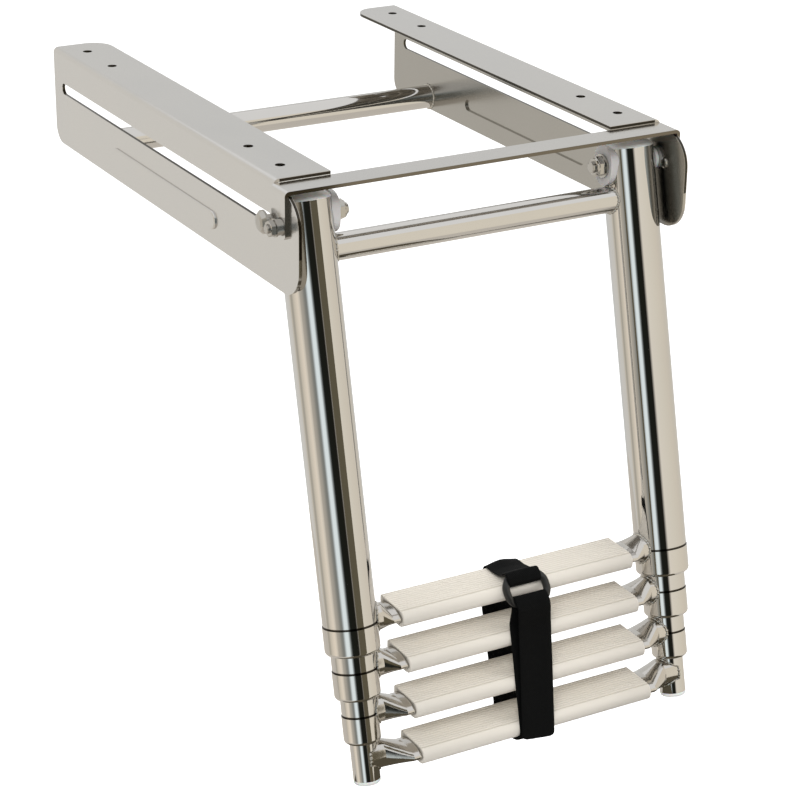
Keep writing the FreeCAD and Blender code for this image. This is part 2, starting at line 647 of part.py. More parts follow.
def oval(name, depth, height, x, y, z):
    """Ellipse across the X axis, its long axis level."""
    ellipse = doc.addObject("Part::Ellipse", name)
    for prop, formula in (("MajorRadius", "(%s)/2" % depth), ("MinorRadius", "(%s)/2" % height)):
        setattr(ellipse, prop, size_of(formula))
        ellipse.setExpression(prop, formula)
    ellipse.Placement = Placement(Vector(size_of(x), size_of(y), size_of(z)), ACROSS)
    for axis, formula in (("x", x), ("y", y), ("z", z)):
        ellipse.setExpression("Placement.Base." + axis, formula)
    return ellipse


def tread_place(k):
    """Level and place of tread k along the posts: how far down and how far ahead of their axis."""
    drop = "(%s - dims.tread_rise)" % RINGS[k]
    ahead = "(dims.tread_set + %d*dims.tread_advance)" % k
    return drop, ahead


def on_posts(drop, ahead):
    """World formulas of a point that lies down the posts and ahead of their axis."""
    y = "(%s - (%s)*sin(dims.lean) - (%s)*cos(dims.lean))" % (PIVOT_Y, drop, ahead)
    z = "(%s - (%s)*cos(dims.lean) + (%s)*sin(dims.lean))" % (PIVOT_Z, drop, ahead)
    return y, z


def rung(k):
    """Steel tube, round where it meets the posts and pressed flat under its tread."""
    name = "rung_%d" % (k + 1)
    end_y, end_z = on_posts(RINGS[k], "0")
    mid_y, mid_z = on_posts(*tread_place(k))
    seat = "(%s - %s/2 - dims.rung_seat)" % (POST_X, TUBES[k])
    flat = "(%s/2 + dims.rung_flare)" % TREAD_LENGTH
    sections = []
    for number, (x, flattened) in enumerate((
            ("(-%s)" % POST_X, False), ("(-%s)" % seat, False), ("(-%s)" % flat, True),
            (flat, True), (seat, False), (POST_X, False))):
        depth = "dims.rung_flat_depth" if flattened else "dims.rung_width"
        height = "dims.rung_flat_height" if flattened else "dims.rung_width"
        y, z = (mid_y, mid_z) if flattened else (end_y, end_z)
        sections.append(oval("%s_section_%d" % (name, number), depth, height, x, y, z))
    loft = doc.addObject("Part::Loft", name + "_blank")
    loft.Sections = sections
    loft.Solid = True
    loft.Ruled = True
    width = TUBES[k] if k == 3 else "(%s + 2*dims.collar_rim)" % TUBES[k]
    return cut(name, loft, copes(name + "_copes", width, RINGS[k]))


def tread(k):
    """Plastic cover: a flat top, a rounded nose at the front, open ends round the flattened rung."""
    name = "tread_%d" % (k + 1)
    body = new_body(name + "_blank")
    sketch = new_sketch(body, "YZ_Plane")
    depth, height = "dims.tread_depth/2", "dims.tread_height/2"
    outline(sketch, [
        ("(-%s)" % depth, "(-%s)" % height), (depth, "(-%s)" % height), (depth, height),
        ("(-%s)" % depth, height)])
    pad(body, sketch, TREAD_LENGTH, midplane=True)
    front, rear = -size_of(depth), size_of(depth)
    fillet(body, "dims.tread_nose", lambda e: runs_along(e, ALONG_X) and passes(e, y=front))
    fillet(body, "dims.tread_rear", lambda e: runs_along(e, ALONG_X) and passes(e, y=rear))
    drop, ahead = tread_place(k)
    level_on_ladder(body, drop, ahead)
    y, z = on_posts(drop, ahead)
    opening = oval(name + "_opening", "dims.rung_flat_depth + 2*dims.tread_grip",
                   "dims.rung_flat_height + 2*dims.tread_grip", "(-%s)" % TREAD_LENGTH, y, z)
    core = doc.addObject("Part::Extrusion", name + "_core")
    core.Base = opening
    core.DirMode = "Normal"
    core.Solid = True
    core.LengthFwd = size_of("2*" + TREAD_LENGTH)
    core.setExpression("LengthFwd", "2*" + TREAD_LENGTH)
    return cut(name, body, core)


def saddle():
    """Spacer on the pivot bolt, hollowed on one side to sit on the round post."""
    blank = new_body("saddle_blank")
    sketch = new_sketch(blank, "XY_Plane")
    reach = "(dims.saddle_length - dims.saddle)/2"
    obround(sketch, "-" + reach, reach, "0", "dims.saddle")
    pad(blank, sketch, "%s/2 + dims.saddle_height" % TUBES[0])
    along_x(blank, "(%s - %s/2 - dims.saddle_height)" % (POST_X, TUBES[0]))
    hole = rod("saddle_hole", "dims.pivot_bolt + 2*dims.pivot_play", TUBES[0])
    along_x(hole, "(%s - %s)" % (POST_X, TUBES[0]))
    hollow = rod("saddle_hollow", "%s + 2*dims.seat_gap" % TUBES[0], "2*dims.saddle_length")
    on_ladder(hollow, drop="dims.saddle_length", x=POST_X)
    return cut("saddle_right", cut("saddle_bored", blank, hole), hollow)


# Webbing: one band round all four treads, closed by a ring buckle in front

def webbing():
    body = new_body("webbing_strap")
    sketch = new_sketch(body, "YZ_Plane", "dims.webbing_offset")
    top_y, top_z = on_posts(*tread_place(0))
    low_y, low_z = on_posts(*tread_place(3))
    for gap in ("(dims.webbing_gap + dims.webbing_sheet)", "dims.webbing_gap"):
        deep, tall = "(dims.tread_depth/2 + %s)" % gap, "(dims.tread_height/2 + %s)" % gap
        outline(sketch, [
            ("(%s + %s)" % (top_y, deep), "(%s + %s)" % (top_z, tall)),
            ("(%s - %s)" % (top_y, deep), "(%s + %s)" % (top_z, tall)),
            ("(%s - %s)" % (low_y, deep), "(%s + %s)" % (low_z, tall)),
            ("(%s - %s)" % (low_y, deep), "(%s - %s)" % (low_z, tall)),
            ("(%s + %s)" % (low_y, deep), "(%s - %s)" % (low_z, tall)),
            ("(%s + %s)" % (top_y, deep), "(%s - %s)" % (top_z, tall))])
    pad(body, sketch, "dims.webbing_width", midplane=True)
    return body


def ring_buckle():
    body = new_body("strap_buckle")
    sketch = new_sketch(body, "XZ_Plane")
    for inset in ("0", "dims.buckle_frame"):
        wide, tall = "(dims.buckle_width/2 - %s)" % inset, "(dims.buckle_height/2 - %s)" % inset
        outline(sketch, [
            ("(-%s)" % wide, "(-%s)" % tall), (wide, "(-%s)" % tall), (wide, tall), ("(-%s)" % wide, tall)])
    pad(body, sketch, "dims.buckle_sheet")
    outside = size_of("dims.buckle_width")
    fillet(body, "dims.buckle_corner",
           lambda e: runs_along(e, ALONG_Y) and abs(2 * abs(e.BoundBox.Center.x) - outside) < 0.01)
    drop, ahead = tread_place(0)
    front = "(%s + dims.tread_depth/2 + 2*dims.webbing_sheet + dims.buckle_gap)" % ahead
    y, z = on_posts(drop, front)
    place(body, "dims.buckle_offset", y, z, ALONG_X, "(-dims.lean - atan(dims.tread_advance/dims.step_pitch)/1deg)")
    return body


def build():
    """Every piece of the ladder, by node name."""
    nodes = []
    rail = right_rail()
    nodes += [rail, mirrored(rail, "rail_left"), rear_stay(), front_bar()]

    # fasteners of the front bar
    tab_face = "(%s + dims.bar_sheet)" % HALF
    inside = domed_bolt("tab_bolt", "dims.tab_bolt",
                        "(dims.sheet + dims.bar_sheet + dims.tab_spacer_height + dims.tab_washer_height"
                        " + dims.tab_nut_height + dims.tab_stud)", "dims.tab_head", "dims.tab_head_height")
    place(inside, WEB_INNER, TAB_MIDDLE, PIVOT_Z, Vector(0, 1, 0), "-90")
    hole = "dims.tab_bolt + 2*dims.tab_bolt_play"
    spacer = ring("tab_spacer", "dims.tab_spacer", hole, "dims.tab_spacer_height")
    along_x(spacer, tab_face, TAB_MIDDLE)
    flat = ring("tab_washer", "dims.tab_washer", hole, "dims.tab_washer_height")
    along_x(flat, "(%s + dims.tab_spacer_height)" % tab_face, TAB_MIDDLE)
    nut = hex_nut("tab_nut", "dims.tab_nut", "dims.tab_nut_height", hole)
    along_x(nut, "(%s + dims.tab_spacer_height + dims.tab_washer_height)" % tab_face, TAB_MIDDLE)
    nodes += [both_sides(inside, "tab_bolts"), both_sides(spacer, "tab_spacers"),
              both_sides(flat, "tab_washers"), both_sides(nut, "tab_nuts")]

    # pivots: they slide in the rails and carry the posts
    head_face = "(%s + dims.side_play + dims.sleeve_height)" % HALF
    saddle_face = "(%s - %s/2 - dims.saddle_height - dims.seat_gap)" % (POST_X, TUBES[0])
    reach = "(%s - %s + dims.washer_height + dims.nut_height + dims.nut_stud)" % (head_face, saddle_face)
    bolt = domed_bolt("pivot_bolt_right", "dims.pivot_bolt", reach, "dims.pivot_head", "dims.pivot_head_height")
    along_x(bolt, head_face)
    hole = "dims.pivot_bolt + 2*dims.pivot_play"
    sleeve = ring("sleeve", "dims.sleeve", hole, "dims.sleeve_height")
    along_x(sleeve, "(%s + dims.side_play)" % HALF)
    slide = ring("slide_washer", "dims.slide_washer", hole,
                 "(%s - dims.side_play - dims.seat_gap - %s - %s/2)" % (WEB_INNER, POST_X, TUBES[0]))
    along_x(slide, "(%s + %s/2 + dims.seat_gap)" % (POST_X, TUBES[0]))
    flat = ring("pivot_washer", "dims.washer", hole, "dims.washer_height")
    along_x(flat, "(%s - dims.washer_height)" % saddle_face)
    nut = hex_nut("pivot_nut", "dims.nut", "dims.nut_height", hole)
    along_x(nut, "(%s - dims.washer_height - dims.nut_height)" % saddle_face)
    nodes += [bolt, mirrored(bolt, "pivot_bolt_left"), both_sides(sleeve, "pivot_sleeves"),
              both_sides(slide, "slide_washers"), both_sides(flat, "pivot_washers"), both_sides(nut, "pivot_nuts")]

    # top section
    for piece, twin in ((post(), "post_left"), (top_cap(), "top_cap_left"), (collar(0), "collar_1_left")):
        nodes += [piece, mirrored(piece, twin)]
    nodes += [both_sides(saddle(), "pivot_saddles"), ladder_brace(), rung(0), tread(0), webbing(), ring_buckle()]

    # the three sections that slide out below it
    for k in (1, 2, 3):
        tube = inner_tube(k)
        end = collar(k) if k < 3 else foot_cap()
        nodes += [tube, mirrored(tube, "tube_%d_left" % (k + 1)), end,
                  mirrored(end, end.Label.replace("right", "left")),
                  both_sides(guide_bush(k), "guide_bushes_%d" % (k + 1)), rung(k), tread(k)]
    return nodes


nodes = build()
doc.recompute()
faulty = [thing.Label for thing in doc.Objects if {"Invalid", "Error"} & set(thing.State)]
for node in nodes:
    if node.Shape.isNull() or not node.Shape.isValid() or not node.Shape.Solids:
        faulty.append(node.Label)
if faulty:
    raise RuntimeError("not sound: " + ", ".join(faulty))

os.makedirs("parts", exist_ok=True)
for node in nodes:
    node.Shape.exportStep("parts/%s.step" % node.Label)
print("%d nodes" % len(nodes))
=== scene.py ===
import math

import bmesh
import bpy
import numpy as np
from mathutils import Matrix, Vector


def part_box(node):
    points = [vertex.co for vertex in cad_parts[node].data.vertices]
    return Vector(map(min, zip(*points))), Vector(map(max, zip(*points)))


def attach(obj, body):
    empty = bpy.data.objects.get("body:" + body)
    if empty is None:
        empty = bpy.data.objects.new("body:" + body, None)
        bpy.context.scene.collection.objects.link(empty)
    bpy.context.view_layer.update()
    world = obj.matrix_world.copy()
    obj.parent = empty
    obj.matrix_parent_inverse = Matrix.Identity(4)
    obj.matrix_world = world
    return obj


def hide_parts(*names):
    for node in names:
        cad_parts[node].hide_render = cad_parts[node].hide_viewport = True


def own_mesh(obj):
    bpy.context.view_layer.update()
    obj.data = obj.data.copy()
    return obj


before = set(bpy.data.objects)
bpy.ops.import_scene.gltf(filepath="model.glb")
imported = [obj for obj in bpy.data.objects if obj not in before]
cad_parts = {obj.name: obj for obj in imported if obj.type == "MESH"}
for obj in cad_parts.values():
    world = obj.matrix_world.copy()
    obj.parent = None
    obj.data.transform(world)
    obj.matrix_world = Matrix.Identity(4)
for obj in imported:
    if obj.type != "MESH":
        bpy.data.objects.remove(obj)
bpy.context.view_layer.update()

# Viewpoint of the photograph: in front of the ladder, to the left of it and above,
# with a long lens. The angles and the distance were fitted to the edges of rails and tubes.

CAMERA_PLACE = (-0.83308, -1.55101, 0.48478)
CAMERA_HEADING, CAMERA_PITCH, CAMERA_ROLL = -29.7401, 90 - 22.8764, 0.7197

photo = bpy.data.cameras.new("photo_camera")
photo.lens = 109.16
photo.sensor_width = 36.0
photographer = bpy.data.objects.new("photo_camera", photo)
bpy.context.collection.objects.link(photographer)
photographer.matrix_world = (
    Matrix.Translation(CAMERA_PLACE) @ Matrix.Rotation(math.radians(CAMERA_HEADING), 4, "Z")
    @ Matrix.Rotation(math.radians(CAMERA_PITCH), 4, "X")
    @ Matrix.Rotation(math.radians(CAMERA_ROLL), 4, "Z"))
bpy.context.scene.camera = photographer
bpy.context.scene.view_settings.view_transform = "Standard"

# White room: an even white world, a pale floor that keeps a soft shadow, and large soft lamps.
# The camera and the polished steel see plain white, and matt surfaces get a calmer light.


def seen_directly(tree):
    """1 for rays of the camera and for mirrored or refracted ones, 0 for light that falls on a surface."""
    path = tree.nodes.new("ShaderNodeLightPath")
    answer = path.outputs["Is Camera Ray"]
    for kind in ("Is Glossy Ray", "Is Transmission Ray"):
        larger = tree.nodes.new("ShaderNodeMath")
        larger.operation = "MAXIMUM"
        tree.links.new(answer, larger.inputs[0])
        tree.links.new(path.outputs[kind], larger.inputs[1])
        answer = larger.outputs[0]
    return answer


world = bpy.data.worlds.new("white_room")
bpy.context.scene.world = world
world.use_nodes = True
sky = world.node_tree
level = sky.nodes.new("ShaderNodeMapRange")
level.inputs["To Min"].default_value = 0.42
level.inputs["To Max"].default_value = 1.0
sky.links.new(seen_directly(sky), level.inputs["Value"])
sky.links.new(level.outputs[0], sky.nodes["Background"].inputs["Strength"])
sky.nodes["Background"].inputs["Color"].default_value = (1.0, 1.0, 1.0, 1.0)

FLOOR_LEVEL = -1.35
bpy.ops.mesh.primitive_plane_add(size=40.0, location=(0.0, 0.0, FLOOR_LEVEL))
floor = bpy.context.object
floor.name = "floor"
paper = bpy.data.materials.new("floor_paper")
paper.use_nodes = True
sheet = paper.node_tree
shade = sheet.nodes["Principled BSDF"]
shade.inputs["Base Color"].default_value = (0.8, 0.8, 0.8, 1.0)
shade.inputs["Roughness"].default_value = 0.9
shade.inputs["Emission Color"].default_value = (1.0, 1.0, 1.0, 1.0)
strength = sheet.nodes.new("ShaderNodeMath")
strength.operation = "MULTIPLY"
strength.inputs[1].default_value = 0.86
sheet.links.new(seen_directly(sheet), strength.inputs[0])
sheet.links.new(strength.outputs[0], shade.inputs["Emission Strength"])
floor.data.materials.append(paper)


def lamp(name, place, target, size, power):
    """Square soft lamp at a place, turned to face a target."""
    light = bpy.data.lights.new(name, "AREA")
    light.size = size
    light.energy = power
    holder = bpy.data.objects.new(name, light)
    bpy.context.collection.objects.link(holder)
    aim = np.array(place) - np.array(target)
    holder.location = place
    holder.rotation_euler = (math.atan2(math.hypot(aim[0], aim[1]), aim[2]), 0.0, math.atan2(aim[0], -aim[1]))
    holder.visible_glossy = False


lamp("key_lamp", (-1.6, -2.2, 2.4), (0.0, -0.1, -0.2), 1.6, 64.0)
lamp("fill_lamp", (2.4, -1.6, 1.2), (0.0, -0.1, -0.2), 2.0, 24.0)
lamp("top_lamp", (0.0, 0.6, 2.6), (0.0, 0.0, -0.2), 2.0, 30.0)

# Studio wall and cards: what the polished steel mirrors. A banded wall stands round the ladder, a
# pale card lies on the floor, one dark card lies under the treads and one stands in front of the
# left post. Only reflections see them.

# angle from the camera's side round to the right, and the colour there
WALL_COLOURS = [
    (-180, (0.75, 0.75, 0.74)), (-150, (0.78, 0.77, 0.74)), (-136, (0.85, 0.83, 0.79)),
    (-108, (0.88, 0.85, 0.79)), (-97, (0.76, 0.70, 0.60)), (-93, (0.58, 0.54, 0.46)),
    (-86, (0.58, 0.54, 0.46)), (-79, (0.82, 0.75, 0.63)), (-68, (1.0, 0.90, 0.76)),
    (-58, (1.12, 1.0, 0.84)), (-51, (0.95, 0.87, 0.75)), (-46, (0.64, 0.59, 0.51)),
    (-37, (0.52, 0.49, 0.43)), (-30, (0.33, 0.33, 0.30)), (-24, (0.30, 0.31, 0.29)),
    (-19, (0.75, 0.82, 0.84)), (-16, (1.08, 1.19, 1.22)), (-7, (1.08, 1.19, 1.22)),
    (-1, (0.25, 0.27, 0.27)), (3, (0.016, 0.018, 0.014)), (24, (0.016, 0.016, 0.012)),
    (29, (0.55, 0.51, 0.45)), (33, (1.02, 0.95, 0.83)), (60, (0.98, 0.91, 0.78)),
    (90, (0.93, 0.85, 0.72)), (112, (0.86, 0.79, 0.68)), (138, (0.76, 0.72, 0.65)),
    (150, (0.78, 0.77, 0.74)), (180, (0.75, 0.75, 0.74))]
WALL_RADIUS, WALL_LOW, WALL_HIGH = 2.0, FLOOR_LEVEL + 0.01, 1.1
CAMERA_BEARING = math.degrees(math.atan2(CAMERA_PLACE[1], CAMERA_PLACE[0]))


def surface(name, points, loop_rows=False, loop_columns=False):
    """Mesh object on a grid of points (rows, columns, 3): a quad joins each four neighbours, and a looped
    side closes. A closed shape gets its poles merged and its faces turned outwards."""
    rows, columns = points.shape[:2]
    index = np.arange(rows * columns).reshape(rows, columns)
    if loop_rows:
        index = np.vstack([index, index[:1]])
    if loop_columns:
        index = np.hstack([index, index[:, :1]])
    quads = np.stack([index[:-1, :-1], index[1:, :-1], index[1:, 1:], index[:-1, 1:]], -1).reshape(-1, 4)
    mesh = bpy.data.meshes.new(name)
    mesh.from_pydata(points.reshape(-1, 3).tolist(), [], quads.tolist())
    mesh.polygons.foreach_set("use_smooth", np.ones(len(quads), bool))
    if loop_columns:
        form = bmesh.new()
        form.from_mesh(mesh)
        if not loop_rows:
            bmesh.ops.remove_doubles(form, verts=form.verts, dist=1e-7)
        bmesh.ops.recalc_face_normals(form, faces=form.faces)
        form.to_mesh(mesh)
        form.free()
    piece = bpy.data.objects.new(name, mesh)
    bpy.context.collection.objects.link(piece)
    return piece


def mirrored_only(piece, colour):
    """Make a stage piece glow in one colour and show in reflections alone."""
    card = bpy.data.materials.new(piece.name)
    card.use_nodes = True
    tree = card.node_tree
    tree.nodes.remove(tree.nodes["Principled BSDF"])
    glow = tree.nodes.new("ShaderNodeEmission")
    glow.inputs["Color"].default_value = (*colour, 1.0)
    tree.links.new(glow.outputs[0], tree.nodes["Material Output"].inputs["Surface"])
    piece.data.materials.append(card)
    piece.visible_camera = piece.visible_diffuse = piece.visible_transmission = piece.visible_shadow = False
    piece.visible_volume_scatter = False
    return tree, glow


def upright_arc(name, radius, start, end, low, high, count):
    """Part of a round wall: points at one radius about Z from a start to an end angle, at two levels."""
    angle = np.radians(np.linspace(start, end, count))[None, :]
    height = np.array([low, high])[:, None]
    return surface(name, np.stack([radius * np.cos(angle) + 0 * height, radius * np.sin(angle) + 0 * height,
                                   height + 0 * angle], -1))


wall = upright_arc("studio_wall", WALL_RADIUS, -180.0, 180.0, WALL_LOW, WALL_HIGH, 97)
wall.rotation_euler = (0.0, 0.0, math.radians(CAMERA_BEARING))
cloth, glow = mirrored_only(wall, (1.0, 1.0, 1.0))
where = cloth.nodes.new("ShaderNodeTexCoord")
around = cloth.nodes.new("ShaderNodeTexGradient")
around.gradient_type = "RADIAL"
bands = cloth.nodes.new("ShaderNodeValToRGB")
cloth.links.new(where.outputs["Object"], around.inputs["Vector"])
cloth.links.new(around.outputs["Color"], bands.inputs["Fac"])
cloth.links.new(bands.outputs["Color"], glow.inputs["Color"])
for k, (degrees, colour) in enumerate(WALL_COLOURS):
    stop = (degrees + 180) / 360
    element = bands.color_ramp.elements[k] if k < 2 else bands.color_ramp.elements.new(stop)
    element.position = stop
    element.color = (*colour, 1.0)

LEAN = math.radians(13.4)
PIVOT = np.array([0.0, -0.1887, -0.029])


def down_the_posts(drop, ahead):
    """Y and Z of a point that lies drop down the leaning posts and ahead of their axis."""
    return (PIVOT[1] - drop * math.sin(LEAN) - ahead * math.cos(LEAN),
            PIVOT[2] - drop * math.cos(LEAN) + ahead * math.sin(LEAN))


def level_card(name, half_width, front, rear, level):
    """Flat card: the four corners of a rectangle at one level."""
    corners = [[(x, y, level) for x in (-half_width, half_width)] for y in (front, rear)]
    return surface(name, np.array(corners))


# the floor as steel mirrors it: pale, and painted shade as a dark card close under the rungs and collars
UNDER_HALF_WIDTH, UNDER_FRONT, UNDER_REAR, UNDER_LEVEL = 0.20, -0.50, -0.23, -0.45
floor_card = level_card("floor_card", WALL_RADIUS, -WALL_RADIUS, WALL_RADIUS, WALL_LOW)
mirrored_only(floor_card, (0.74, 0.69, 0.62))
under_shade_card = level_card("under_shade_card", UNDER_HALF_WIDTH, UNDER_FRONT, UNDER_REAR, UNDER_LEVEL)
mirrored_only(under_shade_card, (0.11, 0.095, 0.065))

# the card in front of the left post, a little towards the middle, which gives it an olive band
NEAR_CARD_AHEAD, NEAR_CARD_LEFT, NEAR_CARD_RIGHT = 0.12, -0.126, -0.064
near_corners = [down_the_posts(drop, NEAR_CARD_AHEAD) for drop in (-0.02, 0.5)]
near_card = surface("near_card", np.array([[(x, y, z) for x in (NEAR_CARD_LEFT, NEAR_CARD_RIGHT)]
                                           for y, z in near_corners]))
mirrored_only(near_card, (0.15, 0.13, 0.085))

# Rails: two channels folded from 2.5 mm stainless plate, satin, with a pressed rib and a slide slot in each
# web and painted shade on the inner faces. The front bar is a flat strip of the same finish.

PLATE, PLATE_TINT = (0.60, 0.592, 0.58), (0.635, 0.62, 0.60)
# painted shade: inner faces of the channels, cut edges of slots and flanges, front edge of the bar
INNER_FACE_SHADE, CUT_EDGE_SHADE, BAR_EDGE_SHADE = (0.40, 0.385, 0.355), (0.05, 0.045, 0.035), (0.17, 0.15, 0.12)


def steel(name, colour, tint, stretch, rough, bump):
    """Stainless steel: noise drawn out along the grain moves the roughness and lifts the skin by a hair,
    and slower noise moves the colour between two tints."""
    metal = bpy.data.materials.new(name)
    metal.use_nodes = True
    tree = metal.node_tree
    shader = tree.nodes["Principled BSDF"]
    shader.inputs["Metallic"].default_value = 1.0
    spot = tree.nodes.new("ShaderNodeTexCoord")
    drawn = tree.nodes.new("ShaderNodeMapping")
    drawn.inputs["Scale"].default_value = stretch
    grain = tree.nodes.new("ShaderNodeTexNoise")
    grain.inputs["Scale"].default_value = 1.0
    grain.inputs["Detail"].default_value = 3.0
    haze = tree.nodes.new("ShaderNodeTexNoise")
    haze.inputs["Scale"].default_value = 18.0
    haze.inputs["Detail"].default_value = 3.0
    gloss = tree.nodes.new("ShaderNodeMapRange")
    gloss.inputs["From Min"].default_value = 0.3
    gloss.inputs["From Max"].default_value = 0.7
    gloss.inputs["To Min"].default_value, gloss.inputs["To Max"].default_value = rough
    shift = tree.nodes.new("ShaderNodeMix")
    shift.data_type = "RGBA"
    shift.inputs["A"].default_value = (*colour, 1.0)
    shift.inputs["B"].default_value = (*tint, 1.0)
    skin = tree.nodes.new("ShaderNodeBump")
    skin.inputs["Strength"].default_value = bump
    skin.inputs["Distance"].default_value = 0.0001
    tree.links.new(spot.outputs["Object"], drawn.inputs["Vector"])
    tree.links.new(drawn.outputs["Vector"], grain.inputs["Vector"])
    tree.links.new(spot.outputs["Object"], haze.inputs["Vector"])
    tree.links.new(haze.outputs["Fac"], gloss.inputs["Value"])
    tree.links.new(gloss.outputs["Result"], shader.inputs["Roughness"])
    tree.links.new(haze.outputs["Fac"], shift.inputs["Factor"])
    tree.links.new(shift.outputs["Result"], shader.inputs["Base Color"])
    tree.links.new(grain.outputs["Fac"], skin.inputs["Height"])
    tree.links.new(skin.outputs["Normal"], shader.inputs["Normal"])
    return metal


def painted(metal, colour, x_range, y_range, z_range):
    """Paint shade on one part of a steel piece in a darker colour: the part where the distance from the
    middle,
    Y and Z all lie in their ranges."""
    tree = metal.node_tree
    shader = tree.nodes["Principled BSDF"]
    spot = tree.nodes.new("ShaderNodeTexCoord")
    parts = tree.nodes.new("ShaderNodeSeparateXYZ")
    across = tree.nodes.new("ShaderNodeMath")
    across.operation = "ABSOLUTE"
    tree.links.new(spot.outputs["Object"], parts.inputs["Vector"])
    tree.links.new(parts.outputs["X"], across.inputs[0])
    cover = None
    limits = ((across.outputs[0], x_range), (parts.outputs["Y"], y_range), (parts.outputs["Z"], z_range))
    for value, (low, high) in limits:
        within = tree.nodes.new("ShaderNodeMath")
        within.operation = "COMPARE"
        within.inputs[1].default_value = (low + high) / 2
        within.inputs[2].default_value = (high - low) / 2
        tree.links.new(value, within.inputs[0])
        if cover:
            both = tree.nodes.new("ShaderNodeMath")
            both.operation = "MULTIPLY"
            tree.links.new(cover, both.inputs[0])
            tree.links.new(within.outputs[0], both.inputs[1])
            cover = both.outputs[0]
        else:
            cover = within.outputs[0]
    shade_mix = tree.nodes.new("ShaderNodeMix")
    shade_mix.data_type = "RGBA"
    shade_mix.inputs["B"].default_value = (*colour, 1.0)
    tree.links.new(cover, shade_mix.inputs["Factor"])
    tree.links.new(shader.inputs["Base Color"].links[0].from_socket, shade_mix.inputs["A"])
    tree.links.new(shade_mix.outputs["Result"], shader.inputs["Base Color"])


def coat(finish, *names):
    """Give CAD nodes a finish in place of their plain one."""
    for name in names:
        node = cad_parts[name]
        node.data.materials.clear()
        node.data.materials.append(finish)


plate = steel("satin_plate", PLATE, PLATE_TINT, (120.0, 30.0, 120.0), (0.15, 0.22), 0.02)
# where the painted shade goes: ranges of the distance from the middle, of Y and of Z
ALL_ALONG = (-0.3, 0.3)
INNER_SIDE = ((0.10, 0.1534), ALL_ALONG, (-0.10, -0.0024))
SLOT_EDGES = ((0.1518, 0.1537), ALL_ALONG, (-0.045, -0.006))
FLANGE_EDGES = ((0.11, 0.1495), ALL_ALONG, (-0.0022, -0.0003))
# painted shade on the inner faces of web and flange
painted(plate, INNER_FACE_SHADE, *INNER_SIDE)
# painted shade on the cut edges of the slots and of the flanges
painted(plate, CUT_EDGE_SHADE, *SLOT_EDGES)
painted(plate, CUT_EDGE_SHADE, *FLANGE_EDGES)
coat(plate, "rail_right", "rail_left")
strip = steel("satin_strip", PLATE, PLATE_TINT, (30.0, 120.0, 120.0), (0.14, 0.2), 0.02)
bar_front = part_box("front_bar")[0].y
# painted shade on the front edge of the bar
painted(strip, BAR_EDGE_SHADE, (0.0, 0.2), (bar_front - 0.001, bar_front + 0.0002), (-0.1, 0.1))
coat(strip, "front_bar")

# Cross tubes: 19 mm polished tube, one between the webs of the rails and one between the posts,
# both butt-welded at their ends.

cross_tubes = steel("polished_cross_tube", (0.60, 0.59, 0.575), (0.63, 0.615, 0.59), (12.0, 160.0, 160.0),
                    (0.04, 0.09), 0.03)
coat(cross_tubes, "rear_cross_tube", "ladder_cross_tube")

# Fasteners: forged and turned stainless, plain and a little duller than the tubes. The nuts are
# hexagons with their corners cut by a cone, the pivot nuts with a locking collar, and the bolt ends
# are threaded.

SIDES = ((1, "right"), (-1, "left"))
turned = steel("plain_fastener", (0.42, 0.41, 0.38), (0.50, 0.48, 0.45), (300.0, 300.0, 300.0),
               (0.08, 0.18), 0.04)
coat(turned, "tab_bolts", "tab_spacers", "tab_washers", "pivot_bolt_right", "pivot_bolt_left",
     "pivot_sleeves", "pivot_washers")


def turned_about_x(centre, rows, widest):
    """Points of a piece turned about a line along X: each row is a place along X and a radius, and its radius
    is cut down to the hexagon of the given width across flats where that is smaller."""
    rows = np.array(rows)
    angle = np.linspace(0.0, 2 * np.pi, 72, endpoint=False)
    flats = widest / 2 / np.cos((angle + np.pi / 6) % (np.pi / 3) - np.pi / 6)
    reach = np.minimum(flats[None, :], rows[:, 1:])
    y, z = centre.y + reach * np.cos(angle), centre.z + reach * np.sin(angle)
    return np.stack([rows[:, :1] + 0 * angle, y, z], -1)


# half the width across the corners and across a chamfered face, as shares of the width across flats
HALF_CORNERS, HALF_FACE = 0.577, 0.49


def hexagon_nut(name, node, outer_side, across, height, bore, body, locking):
    """Pair of nuts on one node: bore, chamfered face, flats, chamfered face and back to the bore.
    A locking nut ends in a round collar in place of the second chamfer."""
    low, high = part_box(node)
    middle = (low + high) / 2
    corner, face = across * HALF_CORNERS, across * HALF_FACE
    steps = [(0.0, bore / 2), (0.0, face), (0.08, corner), (0.92, corner), (1.0, face), (1.0, bore / 2)]
    if locking:
        steps = [(0.0, bore / 2), (0.0, face), (0.08, corner), (0.70, corner), (0.78, face),
                 (0.94, face * 0.96), (1.0, face * 0.86), (1.0, bore / 2)]
    start = high.x - height if outer_side else high.x
    way = 1 if outer_side else -1
    for side, word in SIDES:
        rows = [(side * (start + way * share * height), radius) for share, radius in steps]
        points = turned_about_x(middle, rows, across)
        nut = surface("%s_%s" % (name, word), points, loop_rows=True, loop_columns=True)
        nut.data.materials.append(turned)
        nut.data.polygons.foreach_set("use_smooth", np.zeros(len(nut.data.polygons), bool))
        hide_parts(node)
        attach(nut, body)


hexagon_nut("tab_nut_hexagon", "tab_nuts", outer_side=True, across=0.010, height=0.004, bore=0.0064,
            body="rails", locking=False)
hexagon_nut("pivot_nut_hexagon", "pivot_nuts", outer_side=False, across=0.013, height=0.0065, bore=0.0082,
            body="carriage", locking=True)

THREAD_DEPTH, THREAD_ROOT = 0.1, 0.82
THREAD_PROUD, THREAD_PAST_END = 0.00005, 0.0001


